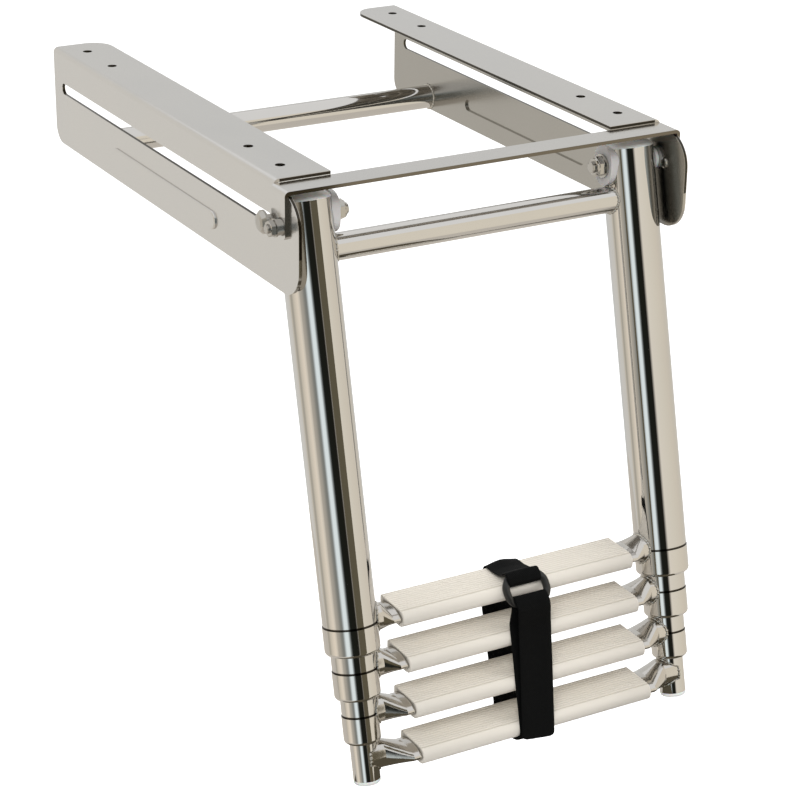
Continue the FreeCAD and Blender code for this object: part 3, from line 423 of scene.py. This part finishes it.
def thread(name, x_start, x_end, centre, radius, pitch, body):
    """Threaded bolt end: the radius falls and rises once a pitch along a helix round the bolt, and a flat
    face closes each end."""
    angle = np.linspace(0.0, 2 * np.pi, 48, endpoint=False)[None, :]
    x = np.linspace(min(x_start, x_end), max(x_start, x_end), 41)[:, None]
    ridge = np.abs(2 * ((x / pitch + angle / (2 * np.pi)) % 1.0) - 1.0)
    reach = radius * (1.0 - THREAD_DEPTH * ridge)
    reach[0], reach[-1] = THREAD_ROOT * radius, THREAD_ROOT * radius
    x = np.vstack([x[:1], x, x[-1:]])
    reach = np.vstack([0 * reach[:1], reach, 0 * reach[-1:]])
    y, z = centre.y + reach * np.cos(angle), centre.z + reach * np.sin(angle)
    piece = surface(name, np.stack([x + 0 * angle, y, z], -1), loop_columns=True)
    piece.data.materials.append(turned)
    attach(piece, body)


# node, way its ends point, radius, length and pitch of the thread, body
bolt_ends = (("tab_bolts", 1, 0.0030, 0.0018, 0.001, "rails"),
             ("pivot_bolt_right", -1, 0.0040, 0.0022, 0.00125, "carriage"))
for node, way, radius, length, pitch, body in bolt_ends:
    low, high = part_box(node)
    centre = (low + high) / 2
    end = high.x if way > 0 else low.x
    for side, word in SIDES:
        name = "%s_thread_%s" % (node.split("_")[0], word)
        x_start, x_end = side * (end - way * length), side * (end + way * THREAD_PAST_END)
        thread(name, x_start, x_end, centre, radius + THREAD_PROUD, pitch, body)

# Posts and sliding tubes: drawn stainless tube, mirror polished, with faint clouding where hands
# and the sliding sections have touched it. The collars at their ends are turned from bar.

polished = steel("polished_tube", (0.60, 0.595, 0.585), (0.63, 0.62, 0.605), (70.0, 70.0, 14.0),
                 (0.03, 0.075), 0.02)
coat(polished, "post_right", "post_left", "tube_2_right", "tube_2_left", "tube_3_right", "tube_3_left",
     "tube_4_right", "tube_4_left")
collars = steel("polished_collar", (0.61, 0.60, 0.585), (0.64, 0.625, 0.60), (60.0, 60.0, 300.0),
                (0.04, 0.09), 0.02)
coat(collars, "collar_1_right", "collar_1_left", "collar_2_right", "collar_2_left", "collar_3_right",
     "collar_3_left")
FIRST_RING, STEP_PITCH = 0.282, 0.03245
GROOVE_DROP, GROOVE_HALF_HEIGHT = 0.0006, 0.0009


def groove_shade_ring(metal, drop):
    """Paint shade into the groove at the top of a collar: darken a band 1.8 mm high round the posts, the part
    whose distance down the leaning axis is within half of that from a given drop."""
    tree = metal.node_tree
    shader = tree.nodes["Principled BSDF"]
    spot = tree.nodes.new("ShaderNodeTexCoord")
    down = tree.nodes.new("ShaderNodeVectorMath")
    down.operation = "DOT_PRODUCT"
    down.inputs[1].default_value = (0.0, -math.sin(LEAN), -math.cos(LEAN))
    within = tree.nodes.new("ShaderNodeMath")
    within.operation = "COMPARE"
    within.inputs[1].default_value = drop - PIVOT[1] * math.sin(LEAN) - PIVOT[2] * math.cos(LEAN)
    within.inputs[2].default_value = GROOVE_HALF_HEIGHT
    shade_mix = tree.nodes.new("ShaderNodeMix")
    shade_mix.data_type = "RGBA"
    shade_mix.inputs["B"].default_value = (0.06, 0.055, 0.045, 1.0)
    tree.links.new(spot.outputs["Object"], down.inputs[0])
    tree.links.new(down.outputs["Value"], within.inputs[0])
    tree.links.new(within.outputs[0], shade_mix.inputs["Factor"])
    tree.links.new(shader.inputs["Base Color"].links[0].from_socket, shade_mix.inputs["A"])
    tree.links.new(shade_mix.outputs["Result"], shader.inputs["Base Color"])


# painted shade in the groove at the top of each collar
for k in range(3):
    groove_shade_ring(collars, FIRST_RING + GROOVE_DROP + STEP_PITCH * k)

# Rungs: tube flattened in the middle, where a tread covers it, and left round at both ends, which
# are coped to the sliding tubes and welded. Only the ends show, a little duller than the posts.

rungs = steel("polished_rung", (0.58, 0.565, 0.54), (0.62, 0.60, 0.57), (30.0, 90.0, 90.0),
              (0.10, 0.16), 0.03)
coat(rungs, "rung_1", "rung_2", "rung_3", "rung_4")

# Weld beads: a ragged line of weld where each rung and cross tube meets its tubes, and where the
# rear cross tube meets the webs.

RUNG_RADIUS, RUNG_WELD = 0.0106, 0.0009
TUBE_RADII = [0.01945, 0.016275, 0.0131, 0.009525]
POST_X, POST_RADIUS, BRACE_DROP = 0.12975, 0.01905, 0.0246
CROSS_TUBE_RADIUS, TUBE_WELD, REAR_TUBE_END = 0.009525, 0.001, (0.1515, 0.1317, -0.0643)
weld = steel("weld", (0.5, 0.485, 0.45), (0.62, 0.60, 0.56), (900.0, 900.0, 900.0), (0.12, 0.3), 0.3)
carriers = ["ladder_upper", "section_2", "section_3", "section_4"]


def bead(name, side, axis, pipe_radius, tube_radius, body, thick):
    """Weld where a cross pipe meets a leaning tube: points round the pipe, pushed along X to the tube's
    skin, each carrying a small circle whose radius swells and shrinks with sines of several pitches.
    Without a tube radius the pipe meets a flat wall."""
    turn = np.linspace(0.0, 2 * np.pi, 180, endpoint=False)[:, None]
    section = np.linspace(0.0, 2 * np.pi, 10, endpoint=False)[None, :]
    y, z = pipe_radius * np.cos(turn), pipe_radius * np.sin(turn)
    if tube_radius:
        sideways = y * math.cos(LEAN) - z * math.sin(LEAN)
        depth = np.sqrt(np.maximum(tube_radius ** 2 - sideways ** 2, 0.0))
    else:
        depth = 0 * y
    ripples = 0.22 * np.sin(23 * turn + side) + 0.16 * np.sin(41 * turn + 2.0) + 0.12 * np.sin(67 * turn)
    swell = thick * (1 + ripples)
    out = swell * np.cos(section)
    points = np.stack([
        side * (axis[0] - depth - swell * np.sin(section)),
        axis[1] + (pipe_radius + out) * np.cos(turn), axis[2] + (pipe_radius + out) * np.sin(turn)], -1)
    piece = surface(name, points, loop_rows=True, loop_columns=True)
    piece.data.materials.append(weld)
    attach(piece, body)


for side, word in SIDES:
    for k, radius in enumerate(TUBE_RADII):
        ring = down_the_posts(FIRST_RING + STEP_PITCH * k, 0.0)
        name = "rung_%d_weld_%s" % (k + 1, word)
        bead(name, side, (POST_X, *ring), RUNG_RADIUS, radius, carriers[k], RUNG_WELD)
    brace = down_the_posts(BRACE_DROP, 0.0)
    bead("cross_tube_weld_" + word, side, (POST_X, *brace), CROSS_TUBE_RADIUS, POST_RADIUS, "ladder_upper",
         TUBE_WELD)
    bead("rear_tube_weld_" + word, side, REAR_TUBE_END, CROSS_TUBE_RADIUS, 0.0, "rails", TUBE_WELD)

# Caps and bushes: pale moulded nylon. Top caps close the posts, foot caps the lowest tubes, and the
# bushes, saddles and slide washers keep steel from rubbing on steel.


def moulded(name, colour, tint, roughness, grain, bump, soft=0.0):
    """Moulded plastic: fine noise lifts the skin, and slow noise moves its colour a little."""
    plastic = bpy.data.materials.new(name)
    plastic.use_nodes = True
    tree = plastic.node_tree
    shader = tree.nodes["Principled BSDF"]
    shader.inputs["Subsurface Weight"].default_value = soft
    shader.inputs["Subsurface Scale"].default_value = 0.002
    spot = tree.nodes.new("ShaderNodeTexCoord")
    fine = tree.nodes.new("ShaderNodeTexNoise")
    fine.inputs["Scale"].default_value = grain
    slow = tree.nodes.new("ShaderNodeTexNoise")
    slow.inputs["Scale"].default_value = 30.0
    shift = tree.nodes.new("ShaderNodeMix")
    shift.data_type = "RGBA"
    shift.inputs["A"].default_value = (*colour, 1.0)
    shift.inputs["B"].default_value = (*tint, 1.0)
    gloss = tree.nodes.new("ShaderNodeMapRange")
    gloss.inputs["To Min"].default_value = roughness - 0.06
    gloss.inputs["To Max"].default_value = roughness + 0.06
    skin = tree.nodes.new("ShaderNodeBump")
    skin.inputs["Strength"].default_value = bump
    skin.inputs["Distance"].default_value = 0.0002
    for source in (fine, slow):
        tree.links.new(spot.outputs["Object"], source.inputs["Vector"])
    tree.links.new(slow.outputs["Fac"], shift.inputs["Factor"])
    tree.links.new(shift.outputs["Result"], shader.inputs["Base Color"])
    tree.links.new(slow.outputs["Fac"], gloss.inputs["Value"])
    tree.links.new(gloss.outputs["Result"], shader.inputs["Roughness"])
    tree.links.new(fine.outputs["Fac"], skin.inputs["Height"])
    tree.links.new(skin.outputs["Normal"], shader.inputs["Normal"])
    return plastic


cap = moulded("cap_nylon", (0.86, 0.86, 0.84), (0.89, 0.89, 0.87), 0.32, 900.0, 0.05, 0.2)
coat(cap, "top_cap_right", "top_cap_left", "foot_cap_right", "foot_cap_left")
bush = moulded("bush_nylon", (0.88, 0.88, 0.86), (0.9, 0.9, 0.88), 0.4, 700.0, 0.1, 0.2)
coat(bush, "guide_bushes_2", "guide_bushes_3", "guide_bushes_4", "slide_washers")
coat(moulded("saddle_nylon", (0.60, 0.58, 0.57), (0.66, 0.64, 0.63), 0.36, 700.0, 0.1, 0.1), "pivot_saddles")

# Treads: extruded off-white covers pushed over the flattened rungs, with fine ribs along the
# flat top, a smooth rounded nose in front and open ends about 2 mm thick.

NOSE, REAR_EDGE = 0.0061, 0.0025
BORE_DEPTH, BORE_HEIGHT = 0.0292, 0.0102
RIB_PITCH, RIB_DEPTH, RIB_MARGIN_FRONT, RIB_MARGIN_REAR = 0.0027, 0.0005, 0.0048, 0.0024
TOP_BAND, CREASE_WIDTH, CREASE_DEPTH = 0.0006, 0.0006, 0.0005
GROOVE_SHADE, CREASE_SHADE = 0.42, 0.8
END_ROUND, END_STEP, BORE_RUN, BORE_WAIST = 0.0004, 0.0003, 0.02, 0.999


def rounded_box(depth, height, front, rear, count):
    """Closed outline of a box across X, front and rear corners rounded, points evenly apart along it."""
    corners = [(-depth / 2 + front, height / 2 - front, front, 90, 180),
               (-depth / 2 + front, -height / 2 + front, front, 180, 270),
               (depth / 2 - rear, -height / 2 + rear, rear, 270, 360),
               (depth / 2 - rear, height / 2 - rear, rear, 0, 90)]
    arcs = []
    for y, z, radius, start, end in corners:
        angle = np.radians(np.linspace(start, end, 25))
        arcs.append(np.stack([y + radius * np.cos(angle), z + radius * np.sin(angle)], -1))
    line = np.concatenate(arcs + [arcs[0][:1]])
    walked = np.concatenate([[0.0], np.cumsum(np.hypot(*np.diff(line, axis=0).T))])
    even = np.linspace(0.0, walked[-1], count, endpoint=False)
    return np.stack([np.interp(even, walked, line[:, 0]), np.interp(even, walked, line[:, 1])], -1)


def tread_cover(number):
    """Sleeve: its outline runs along the outside, turns in at each end and comes back as an oval bore. Across
    the top, a groove between ribs is the square of a raised cosine of the distance from the crease, and the
    crease behind the nose is a bell curve. The attribute groove keeps how deep a point lies, for the painted
    shade that darkens grooves and crease."""
    low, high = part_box("tread_%d" % number)
    middle, size = (low + high) / 2, high - low
    outside = rounded_box(size.y, size.z, NOSE, REAR_EDGE, 900)
    on_top = outside[:, 1] > size.z / 2 - TOP_BAND
    first, last = -size.y / 2 + RIB_MARGIN_FRONT, size.y / 2 - RIB_MARGIN_REAR
    ribbed = on_top & (outside[:, 0] > first) & (outside[:, 0] < last)
    wave = (0.5 + 0.5 * np.cos(2 * np.pi * (outside[:, 0] - first) / RIB_PITCH)) ** 2
    crease = np.where(on_top, np.exp(-((outside[:, 0] - first) / CREASE_WIDTH) ** 2), 0.0)
    wave = np.where(ribbed, wave, 0.0)
    outside[:, 1] -= RIB_DEPTH * wave + CREASE_DEPTH * crease
    angle = np.arctan2(outside[:, 1] / size.z, outside[:, 0] / size.y)
    bore = np.stack([BORE_DEPTH / 2 * np.cos(angle), BORE_HEIGHT / 2 * np.sin(angle)], -1)
    half = size.x / 2
    edge = outside * (1 - END_STEP / (size.z / 2))
    inside = bore * BORE_WAIST
    path = [(-half + END_ROUND, outside), (half - END_ROUND, outside), (half, edge), (half, bore),
            (half - BORE_RUN, inside), (-half + BORE_RUN, inside), (-half, bore), (-half, edge)]
    points = np.stack([np.column_stack([np.full(len(line), x), line[:, 0] + middle.y, line[:, 1] + middle.z])
                       for x, line in path])
    cover = surface("tread_cover_%d" % number, points, loop_rows=True, loop_columns=True)
    shade_of_row = np.maximum(GROOVE_SHADE * wave, CREASE_SHADE * crease)
    shades = [shade_of_row if line is outside else 0 * shade_of_row for x, line in path]
    cover.data.attributes.new("groove", "FLOAT", "POINT").data.foreach_set("value", np.concatenate(shades))
    return cover


cream = moulded("tread_cream", (0.79, 0.74, 0.66), (0.81, 0.76, 0.68), 0.42, 500.0, 0.0)
# painted shade in the grooves between ribs and in the crease, read from the attribute groove
groove_shade_attribute = cream.node_tree.nodes.new("ShaderNodeAttribute")
groove_shade_attribute.attribute_name = "groove"
groove_shade_mix = cream.node_tree.nodes.new("ShaderNodeMix")
groove_shade_mix.data_type = "RGBA"
groove_shade_mix.inputs["B"].default_value = (0.50, 0.46, 0.38, 1.0)
cream_colour = cream.node_tree.nodes["Principled BSDF"].inputs["Base Color"]
cream.node_tree.links.new(groove_shade_attribute.outputs["Fac"], groove_shade_mix.inputs["Factor"])
cream.node_tree.links.new(cream_colour.links[0].from_socket, groove_shade_mix.inputs["A"])
cream.node_tree.links.new(groove_shade_mix.outputs["Result"], cream_colour)
for number, carrier in enumerate(carriers, 1):
    cover = tread_cover(number)
    cover.data.materials.append(cream)
    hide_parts("tread_%d" % number)
    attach(cover, carrier)

# Buckle: a moulded ring of black plastic that lies tilted on the nose of the first tread. Its ends
# are bowed and thicker than its bars.

BUCKLE_MIDDLE = np.array([0.0022, -0.2722, -0.3015])
BUCKLE_TILT = math.radians(38.5)
UP_THE_BUCKLE = np.array([0.0, math.sin(BUCKLE_TILT), math.cos(BUCKLE_TILT)])
OFF_THE_BUCKLE = np.array([0.0, -math.cos(BUCKLE_TILT), math.sin(BUCKLE_TILT)])
BUCKLE_HALF_WIDTH, BUCKLE_HALF_HEIGHT, BUCKLE_CORNER = 0.0160, 0.0086, 0.0070
BAR_HALF_WIDTH, BAR_HALF_THICK = 0.0036, 0.0013
END_NARROWER, END_THICKER = 0.0009, 0.0015

black = moulded("buckle_black", (0.006, 0.006, 0.006), (0.014, 0.014, 0.014), 0.34, 600.0, 0.15)
outline = rounded_box(2 * BUCKLE_HALF_WIDTH, 2 * BUCKLE_HALF_HEIGHT, BUCKLE_CORNER, BUCKLE_CORNER, 240)
way = np.roll(outline, -1, axis=0) - np.roll(outline, 1, axis=0)
outward = np.stack([-way[:, 1], way[:, 0]], -1) / np.linalg.norm(way, axis=1)[:, None]
outward *= np.sign((outward * outline).sum(1).mean())
at_end = np.clip((np.abs(outline[:, 0]) / BUCKLE_HALF_WIDTH - 0.7) / 0.3, 0.0, 1.0)
at_end = (3 * at_end ** 2 - 2 * at_end ** 3)[:, None]
section = np.linspace(0.0, 2 * np.pi, 24, endpoint=False)[None, :]
wide = (BAR_HALF_WIDTH - END_NARROWER * at_end) * np.cos(section)
tall = (BAR_HALF_THICK + END_THICKER * at_end) * np.sin(section)
flat = outline[:, None] + wide[..., None] * outward[:, None]
ring_points = (BUCKLE_MIDDLE + flat[..., :1] * np.array([1.0, 0.0, 0.0]) + flat[..., 1:] * UP_THE_BUCKLE
               + tall[..., None] * OFF_THE_BUCKLE)
buckle = surface("ring_buckle", ring_points, loop_rows=True, loop_columns=True)
buckle.data.materials.append(black)
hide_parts("strap_buckle")
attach(buckle, "ladder_upper")

# Strap: one black woven band that holds the closed treads together. It is sewn round the upper bar
# of the buckle, runs over the first tread, down behind all four and up in front of them, and comes
# forward through the buckle and down again over itself.

WEB_WIDTH, WEB_THICK, END_RADIUS = 0.0268, 0.0014, 0.0035


def at_buckle(up, off):
    """Y and Z of a point up along the buckle from its middle and off its face."""
    return tuple((BUCKLE_MIDDLE + up * UP_THE_BUCKLE + off * OFF_THE_BUCKLE)[1:])


def banded(route, width, thick, count):
    """Flat band: a rounded strip section carried along a smooth route. Each knot of the route holds a place
    across, Y, Z and how far the middle of the band stands proud of its edges. The corners of the free end
    are rounded, and a point closes each end."""
    knots = np.array(route)
    step = np.concatenate([[0.0], np.cumsum(np.linalg.norm(np.diff(knots[:, :3], axis=0), axis=1))])
    even = np.linspace(0.0, step[-1], count)
    line = np.stack([np.interp(even, step, knots[:, k]) for k in range(4)], -1)
    for _ in range(5):
        line[1:-1] = (line[:-2] + 2 * line[1:-1] + line[2:]) / 4
    crown = line[:, 3:]
    line = line[:, :3]
    along = np.gradient(line, axis=0)
    along /= np.linalg.norm(along, axis=1)[:, None]
    across = np.array([1.0, 0.0, 0.0]) - along * along[:, :1]
    across /= np.linalg.norm(across, axis=1)[:, None]
    proud = np.cross(along, across)
    angle = np.linspace(0.0, 2 * np.pi, 64, endpoint=False)
    wide = np.sign(np.cos(angle)) * np.abs(np.cos(angle)) ** 0.5 * width / 2
    tall = np.sign(np.sin(angle)) * np.abs(np.sin(angle)) ** 0.6 * thick / 2
    bulge = crown * np.cos(np.pi * wide[None, :] / width) ** 2
    to_end = np.minimum(step[-1] - even, END_RADIUS) - END_RADIUS
    narrow = 1 - 2 * (END_RADIUS - np.sqrt(END_RADIUS ** 2 - to_end ** 2)) / width
    points = (line[:, None] + (wide[None, :] * narrow[:, None])[..., None] * across[:, None]
              - (tall[None, :] + bulge)[..., None] * proud[:, None])
    first, last = line[:1, None] + 0 * points[:1], line[-1:, None] + 0 * points[-1:]
    return np.concatenate([first, points, last])


def strap_route():
    """Knots of the band, from behind the upper bar of the buckle round the treads to its free end."""
    (low_1, high_1), (low_4, high_4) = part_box("tread_1"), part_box("tread_4")
    back = 0.0019
    slope = (low_4.y - low_1.y) / (low_4.z - low_1.z)

    def nose_line(z, off):
        """Y of a point off the line that touches the noses of all the treads, at a level."""
        return low_1.y + (z - (low_1.z + high_1.z) / 2) * slope - off

    return [
        (0.0016, *at_buckle(0.0105, -0.0026), 0.0), (0.0016, *at_buckle(0.0066, -0.0030), 0.0),
        (0.0016, *at_buckle(0.0036, -0.0008), 0.0), (0.0016, *at_buckle(0.0048, 0.0028), 0.0),
        (0.0016, *at_buckle(0.0088, 0.0034), 0.0), (0.0016, *at_buckle(0.0135, 0.0022), 0.0),
        (0.0018, low_1.y + 0.0120, high_1.z + 0.0036, 0.0004),
        (0.0024, low_1.y + 0.0220, high_1.z + 0.0016, 0.0008),
        (0.0029, high_1.y - 0.0030, high_1.z + 0.0012, 0.0018),
        (0.0029, high_1.y + 0.0004, high_1.z + 0.0006, 0.0018),
        (0.0026, high_1.y + back, high_1.z - 0.0040, 0.0004),
        (0.0, high_1.y + back - 0.0018, low_1.z - 0.0060, 0.0),
        (-0.0040, high_4.y + back, high_4.z - 0.0010, 0.0), (-0.0045, high_4.y + back, low_4.z + 0.0030, 0.0),
        (-0.0046, high_4.y - 0.0016, low_4.z - 0.0010, 0.0),
        (-0.0048, high_4.y - 0.0160, low_4.z - 0.0026, 0.0),
        (-0.0048, low_4.y + 0.0080, low_4.z - 0.0032, 0.0),
        (-0.0048, low_4.y + 0.0020, low_4.z - 0.0014, 0.0),
        (-0.0046, low_4.y - 0.0012, low_4.z + 0.0040, 0.0),
        (-0.0044, nose_line(-0.3960, 0.0012), -0.3960, 0.0),
        (-0.0026, nose_line(-0.3600, 0.0012), -0.3600, 0.0),
        (-0.0014, nose_line(-0.3370, 0.0014), -0.3370, 0.0),
        (-0.0008, nose_line(-0.3240, 0.0014), -0.3240, 0.0),
        (0.0004, *at_buckle(-0.0118, -0.0026), 0.0), (0.0012, *at_buckle(-0.0066, -0.0028), 0.0),
        (0.0016, *at_buckle(-0.0038, 0.0), 0.0), (0.0020, *at_buckle(-0.0052, 0.0030), 0.0),
        (0.0022, *at_buckle(-0.0100, 0.0032), 0.0), (0.0026, *at_buckle(-0.0148, 0.0020), 0.0004),
        (0.0034, nose_line(-0.3270, 0.0062), -0.3270, 0.0008),
        (0.0020, nose_line(-0.3460, 0.0046), -0.3460, 0.0008),
        (-0.0002, nose_line(-0.3670, 0.0036), -0.3670, 0.0006),
        (-0.0036, nose_line(-0.3930, 0.0034), -0.3930, 0.0004),
        (-0.0048, nose_line(-0.4035, 0.0030), -0.4035, 0.0)]


webbing = bpy.data.materials.new("black_webbing")
webbing.use_nodes = True
weave = webbing.node_tree
thread_shader = weave.nodes["Principled BSDF"]
thread_shader.inputs["Roughness"].default_value = 0.8
thread_shader.inputs["Specular IOR Level"].default_value = 0.12
spot = weave.nodes.new("ShaderNodeTexCoord")
twill = weave.nodes.new("ShaderNodeMapping")
twill.inputs["Rotation"].default_value = (0.0, 0.75, 0.0)
yarn = weave.nodes.new("ShaderNodeTexWave")
yarn.inputs["Scale"].default_value = 330.0
yarn.inputs["Distortion"].default_value = 2.0
fluff = weave.nodes.new("ShaderNodeTexNoise")
fluff.inputs["Scale"].default_value = 900.0
fluff.inputs["Detail"].default_value = 2.0
tone = weave.nodes.new("ShaderNodeMix")
tone.data_type = "RGBA"
tone.inputs["A"].default_value = (0.0008, 0.0009, 0.001, 1.0)
tone.inputs["B"].default_value = (0.0045, 0.005, 0.0052, 1.0)
pick = weave.nodes.new("ShaderNodeBump")
pick.inputs["Distance"].default_value = 0.0003
pick.inputs["Strength"].default_value = 0.6
weave.links.new(spot.outputs["Object"], twill.inputs["Vector"])
weave.links.new(twill.outputs["Vector"], yarn.inputs["Vector"])
weave.links.new(spot.outputs["Object"], fluff.inputs["Vector"])
weave.links.new(fluff.outputs["Fac"], tone.inputs["Factor"])
weave.links.new(tone.outputs["Result"], thread_shader.inputs["Base Color"])
weave.links.new(yarn.outputs["Fac"], pick.inputs["Height"])
weave.links.new(pick.outputs["Normal"], thread_shader.inputs["Normal"])

band = surface("strap_band", banded(strap_route(), WEB_WIDTH, WEB_THICK, 620), loop_columns=True)
band.data.materials.append(webbing)
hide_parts("webbing_strap")
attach(band, "ladder_upper")
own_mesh(band)
